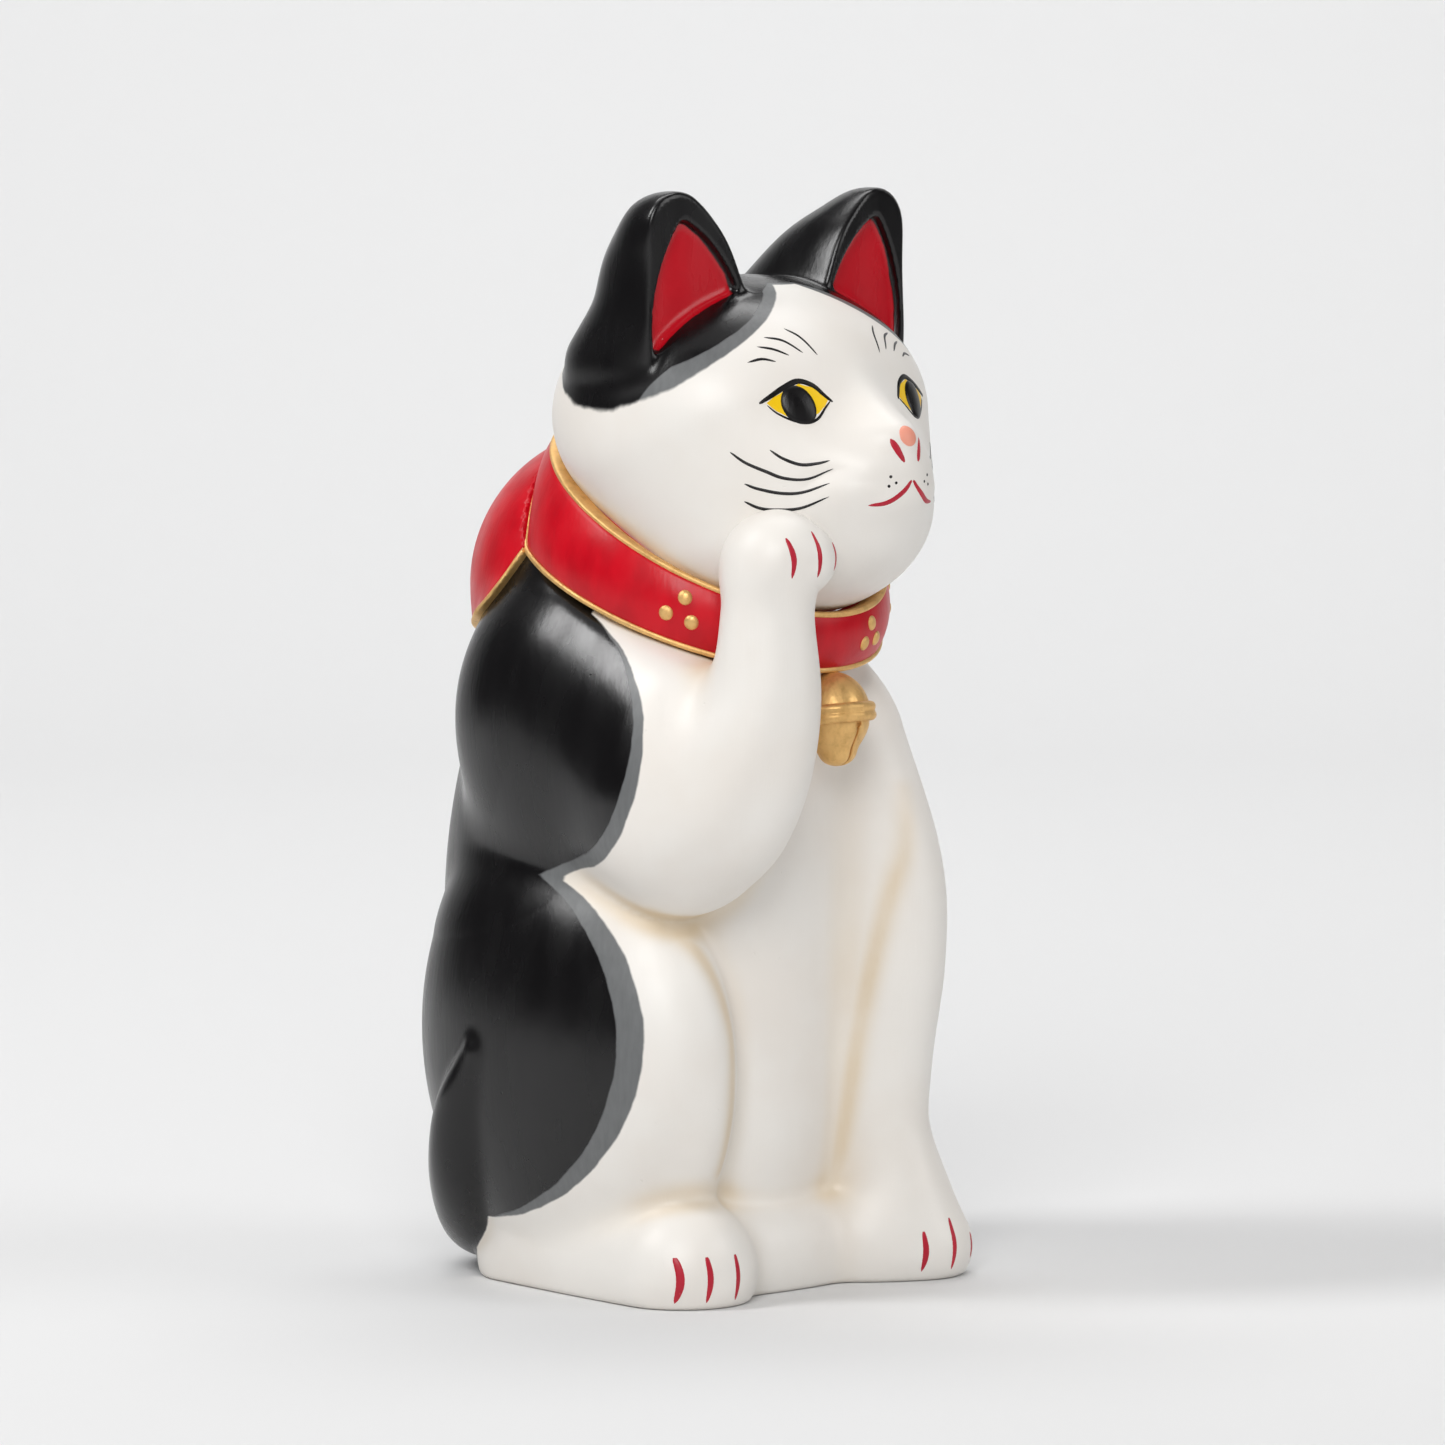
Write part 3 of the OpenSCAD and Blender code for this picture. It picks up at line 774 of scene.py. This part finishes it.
def outward(turn):
    """Level directions away from the neck."""
    return np.stack([np.sin(turn), -np.cos(turn), 0 * turn], -1)


def over_nape(points):
    """Height above the plane that ends the band at the nape."""
    return points[..., 2] - NAPE[1] - math.tan(math.radians(NAPE[2])) * (points[..., 1] - NAPE[0])


def band(turn, share):
    """Points of the collar's outer face; share runs from its lower to its upper edge."""
    low, top = rim(turn, *LOW_RIM), rim(turn, *TOP_RIM)
    start = np.clip(over_nape(low) / (over_nape(low) - over_nape(top)), 0, 1) * (over_nape(low) < 0)
    at = start + (1 - start) * share
    bulge = BAND_BULGE * np.sin(math.pi * np.clip(share, 0, 1)) ** BAND_FULLNESS * np.sqrt(1 - start)
    return low + (top - low) * at[..., None] + outward(turn) * bulge[..., None]


def turns(count):
    """Even turns round the collar, as far as the nape on each side."""
    tried = np.linspace(0, math.pi, 2000)
    end = tried[over_nape(rim(tried, *TOP_RIM)) > NAPE_GAP].max()
    return np.linspace(-end, end, count)


def smooth(piece, levels=2):
    modifier = piece.modifiers.new("Rounded", "SUBSURF")
    modifier.levels = modifier.render_levels = levels


def build_collar(red, gold):
    """The band and its two edgings, swept round the neck from one side of the nape to the other."""
    turn = turns(BAND_STEPS)
    out = outward(turn)
    shares = np.linspace(BAND_EDGE, 1 - BAND_EDGE, BAND_ROWS)
    rows = [band(turn, np.full_like(turn, share)) for share in shares]
    rows = [rows[0] - LOW_TUCK * out] + rows + [rows[-1] - TOP_TUCK * out]
    add_piece("collar_band", np.stack(rows, 1).reshape(-1, 3), grid_faces(len(turn), len(rows)), red,
              ["collar"])
    for name, edge, profile in (("collar_trim_lower", 0.0, LOW_TRIM), ("collar_trim_upper", 1.0, TOP_TRIM)):
        middle = band(turn, np.full_like(turn, edge))
        rows = [middle + proud * out + np.array((0, 0, up)) for proud, up in profile]
        count = len(profile)
        last = (len(turn) - 1) * count
        faces = grid_faces(len(turn), count, closed=True)
        faces += [tuple(range(count))[::-1], tuple(range(last, last + count))]
        smooth(add_piece(name + "_gilt", np.stack(rows, 1).reshape(-1, 3), faces, gold,
                         [name]))


def dab(at, across, up):
    """A half-round dab of gold that stands on the band at a point."""
    out = np.cross(across, up)
    angles = np.linspace(0, 2 * math.pi, DOT_SIDES, endpoint=False)[:, None]
    around = np.cos(angles) * across + np.sin(angles) * up
    tilts = math.pi / 2 * np.arange(DOT_RINGS) / DOT_RINGS
    rings = [at + DOT_R * math.cos(tilt) * around + (DOT_RISE * math.sin(tilt) - DOT_SINK) * out
             for tilt in tilts]
    faces = grid_faces(DOT_RINGS, DOT_SIDES, closed=True)
    faces += [face[::-1] for face in fan((DOT_RINGS - 1) * DOT_SIDES, DOT_SIDES, DOT_RINGS * DOT_SIDES)]
    return np.vstack(rings + [at + (DOT_RISE - DOT_SINK) * out]), faces


def build_dots(gold):
    """Twelve dabs of gold in four threes."""
    dots = Sheet()
    for middle in DOT_TURNS:
        for spoke in np.radians(DOT_SPOKES):
            turn = np.radians([middle + DOT_SPREAD * math.cos(spoke)])
            share = np.array([0.5 + DOT_CLIMB * math.sin(spoke)])
            at = band(turn, share)[0]
            across = unit(band(turn + NUDGE, share)[0] - at)
            up = unit(band(turn, share + NUDGE)[0] - at)
            dots.add(*dab(at, across, up))
    dots.piece("gold_dots", gold, "painted_clay_gold", ["collar_dots"])


HEM_R, HEM_Z = 126.5, 300.0         # the kerchief's lower edge is an arc seen from behind
HEM_SIDE = ((0, 17, 185), (0, -1.0, -0.57))   # plane of its front edge on the shoulders
HEM_CORNER = 12                     # round of the corner between the two
CLOTH_PROUD, HEM_PROUD = 1.8, 2.2   # how far the cloth and its hem stand off the shoulders
CLOTH_DEPTH = 2.0                   # how far both go under the skin of the clay
CLOTH_INSET, HEM_W = 1.2, 1.7       # cloth that the hem covers, and the hem's width
CLOTH_EDGE, HEM_EDGE = 1.5, 1.0     # round of their edges


def behind_collar(points):
    """Distance past the slanting plane where the kerchief goes under the collar."""
    return facing(points, (0, NAPE[0], NAPE[1]), (0, -math.tan(math.radians(NAPE[2])), 1))


def hem_distance(points):
    """Distance past the kerchief's edge, negative on the cloth."""
    arc = np.hypot(points[:, 0], points[:, 2] - HEM_Z) - HEM_R
    return keep(arc, facing(points, *HEM_SIDE), HEM_CORNER)


def kerchief(points, proud, trimmed):
    """A layer proud of the shoulders, its edge moved in by trimmed."""
    under = torso(points)
    layer = np.maximum(under - proud, -CLOTH_DEPTH - under)
    return np.maximum(keep(layer, hem_distance(points) + trimmed, CLOTH_EDGE), behind_collar(points))


def cloth(points):
    return kerchief(points, CLOTH_PROUD, CLOTH_INSET)


def hem(points):
    return keep(kerchief(points, HEM_PROUD, 0.0), -hem_distance(points) - HEM_W, HEM_EDGE)


def build_kerchief(red, gold):
    points, normals, quads = skin(cloth, *CLOTH_BOX, CLOTH_PITCH)
    add_piece("kerchief_cloth", points, quads, red, ["kerchief"], normals)
    points, normals, quads = skin(hem, *CLOTH_BOX, HEM_PITCH)
    add_piece("kerchief_hem", points, quads, gold, ["kerchief_trim"], normals)


BELL_AT = np.array((2.0, -64.5, 158.0))       # middle of its girdle
BELL_R = 10.0
BELL_DOME, BELL_TIP = 11.5, 14.0              # heights above and below the girdle
BELL_LEAN = 8.0                               # degrees its tip swings forward
BELL_DAB = ((2, -54, 158), (5, 5, 5))         # the slip that fixes it to the chest
BELL_TOP = ((0, 0, 0), (BELL_R, BELL_R, BELL_DOME))     # its masses, about the girdle's middle
BELL_BOWL = ((0, 0, -1), (0.96 * BELL_R, 0.96 * BELL_R, 0.7 * BELL_TIP))
BELL_NOSE = ((0, 0, 0.3 * BELL_R - BELL_TIP), (0.45 * BELL_R, 0.45 * BELL_R, 0.3 * BELL_R))
BELL_FILL, BELL_SPAN = 6, 16                  # the fill between them, and half the box round the bell
GIRDLE_R, GIRDLE_STEP, GIRDLE_FILL = 1.5, 1.15, 0.6     # the two ridges of the girdle
SLIT_TOP = -3.6                               # height of the round end of the slit
SLIT_HALF, SLIT_HOLE = 0.4, 1.0
SLIT_DEPTH, SLIT_EDGE = 1.2, 0.5


def bell_place(points):
    """Points as seen from the middle of the bell with its lean undone."""
    lean = math.radians(BELL_LEAN)
    x, y, z = (points - BELL_AT).T
    return np.stack([x, y * math.cos(lean) - z * math.sin(lean), y * math.sin(lean) + z * math.cos(lean)], 1)


def bell(points):
    """An egg drawn in below its girdle, with a slit that ends in a round hole."""
    place = bell_place(points)
    below = join(lump(place, BELL_BOWL), lump(place, BELL_NOSE), BELL_FILL)
    egg = np.where(place[:, 2] > 0, lump(place, BELL_TOP), below)
    slit = np.maximum(np.abs(place[:, 0]) - SLIT_HALF, place[:, 2] - SLIT_TOP)
    hole = np.hypot(place[:, 0], place[:, 2] - SLIT_TOP) - SLIT_HOLE
    cut = np.maximum(np.minimum(slit, hole), np.maximum(place[:, 1], -egg - SLIT_DEPTH))
    return np.minimum(keep(egg, -cut, SLIT_EDGE), lump(points, BELL_DAB))


def girdle(points):
    """Two ridges round the bell, run together."""
    place = bell_place(points)
    around = np.hypot(place[:, 0], place[:, 1]) - BELL_R
    ridges = [np.hypot(around, place[:, 2] + step) - GIRDLE_R for step in (-GIRDLE_STEP, GIRDLE_STEP)]
    return join(*ridges, GIRDLE_FILL)


def build_bell(gold):
    for name, field in (("bell", bell), ("bell_girdle", girdle)):
        points, normals, quads = skin(field, BELL_AT - BELL_SPAN, BELL_AT + BELL_SPAN, BELL_PITCH)
        add_piece(name + "_gilt", points, quads, gold, [name], normals)


# ---- Stage ----------------------------------------------------------------------------
# The paper and the lights are in metres.

PAPER = (0.72, 0.72, 0.72, 1)
PAPER_TURN, PAPER_HALF = 45.0, 4.0          # degrees it is turned, and half its width
FLOOR_FRONT, FLOOR_END = -3.0, 1.6          # ends of the floor, along the way the camera looks
WALL_TOP, WALL_BEND, BEND_STEPS = 2.2, 0.8, 16
VIEW_TURN, VIEW_RISE = -45.0, 4.8           # the camera's azimuth and elevation
VIEW_TARGET = np.array((12.0, -12.0, 152.0))
VIEW_REACH = 2300.0
LENS_PER_WIDTH = 5.783                      # focal length over the width of the frame
SENSOR_W, SIGHT = 36.0, 50.0
LIGHT_AIM, WALL_AIM = (0, 0, 0.16), (1.5, 1.5, 0.8)
SKY, SKY_STRENGTH = (0.96, 0.97, 1.0, 1), 0.08


def build_stage():
    """A pale floor that curves up into a backdrop."""
    material, _, _ = new_material("paper", Base_Color=PAPER, Roughness=0.95)
    arc = np.linspace(0, math.pi / 2, BEND_STEPS)
    bend = [(FLOOR_END + WALL_BEND * math.sin(a), WALL_BEND * (1 - math.cos(a))) for a in arc]
    profile = [(FLOOR_FRONT, 0.0)] + bend + [(FLOOR_END + WALL_BEND, WALL_TOP)]
    turn = math.radians(PAPER_TURN)
    ahead = np.array((math.sin(turn), math.cos(turn), 0))
    across = np.array((math.cos(turn), -math.sin(turn), 0))
    points = [ahead * reach + across * side + np.array((0, 0, height))
              for reach, height in profile for side in (-PAPER_HALF, PAPER_HALF)]
    mesh = bpy.data.meshes.new("backdrop")
    mesh.from_pydata([tuple(p) for p in points], [], [f[::-1] for f in grid_faces(len(profile), 2)])
    mesh.polygons.foreach_set("use_smooth", [True] * len(mesh.polygons))
    mesh.materials.append(material)
    backdrop = bpy.data.objects.new("backdrop", mesh)
    bpy.context.scene.collection.objects.link(backdrop)


def aim_from(holder, aim, azimuth, elevation, reach):
    """Puts a camera or a light reach from aim and turns it to look there. azimuth is in degrees
    from the cat's front round toward its left, elevation in degrees above the floor."""
    turn, rise = math.radians(azimuth), math.radians(elevation)
    back = np.array((math.sin(turn) * math.cos(rise), -math.cos(turn) * math.cos(rise), math.sin(rise)))
    holder.location = aim + back * reach
    holder.rotation_euler = (math.pi / 2 - rise, 0, turn)
    bpy.context.scene.collection.objects.link(holder)


def build_camera():
    camera = bpy.data.objects.new("camera", bpy.data.cameras.new("camera"))
    camera.data.sensor_width = SENSOR_W
    camera.data.lens = LENS_PER_WIDTH * SENSOR_W
    camera.data.clip_end = SIGHT
    aim_from(camera, VIEW_TARGET * MM, VIEW_TURN, VIEW_RISE, VIEW_REACH * MM)
    bpy.context.scene.camera = camera


def add_light(name, azimuth, elevation, reach, size, power, aim=LIGHT_AIM):
    """A soft box of that size and power in watts that looks at the figure from that side."""
    light = bpy.data.lights.new(name, "AREA")
    light.shape = "RECTANGLE"
    light.size, light.size_y = size
    light.energy = power
    aim_from(bpy.data.objects.new(name, light), np.array(aim), azimuth, elevation, reach)


def build_light():
    """Soft boxes round the figure, one over the backdrop, and a weak sky."""
    world = bpy.data.worlds.new("studio")
    world.use_nodes = True
    background = world.node_tree.nodes["Background"]
    background.inputs["Color"].default_value = SKY
    background.inputs["Strength"].default_value = SKY_STRENGTH
    bpy.context.scene.world = world
    add_light("key", -116, 47, 2.2, (0.5, 1.0), 22)
    add_light("front", -50, 30, 3.0, (1.4, 1.4), 48)
    add_light("fill", 30, 25, 3.0, (1.6, 1.6), 21)
    add_light("top", 135, 80, 2.2, (2.0, 2.0), 6)
    add_light("wall", -45, 60, 2.0, (2.2, 1.4), 40, WALL_AIM)
    bpy.context.scene.view_settings.view_transform = "Standard"


# ---- The whole scene ------------------------------------------------------------------

def build():
    white, black = painted("painted_white"), painted("painted_black")
    red = plain_paint("signal_red", RED, DEEP_RED, 0.33)
    gold = gilded("brushed_gold", 0.46)
    build_body(white, black)
    build_head(white, black)
    crimson = build_face()
    build_claws(crimson)
    build_collar(red, gold)
    build_dots(gold)
    build_kerchief(red, gold)
    build_bell(gold)
    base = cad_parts["base_disc"].data
    base.materials.clear()
    base.materials.append(bisque("bare_clay"))
    build_stage()
    build_camera()
    build_light()


build()
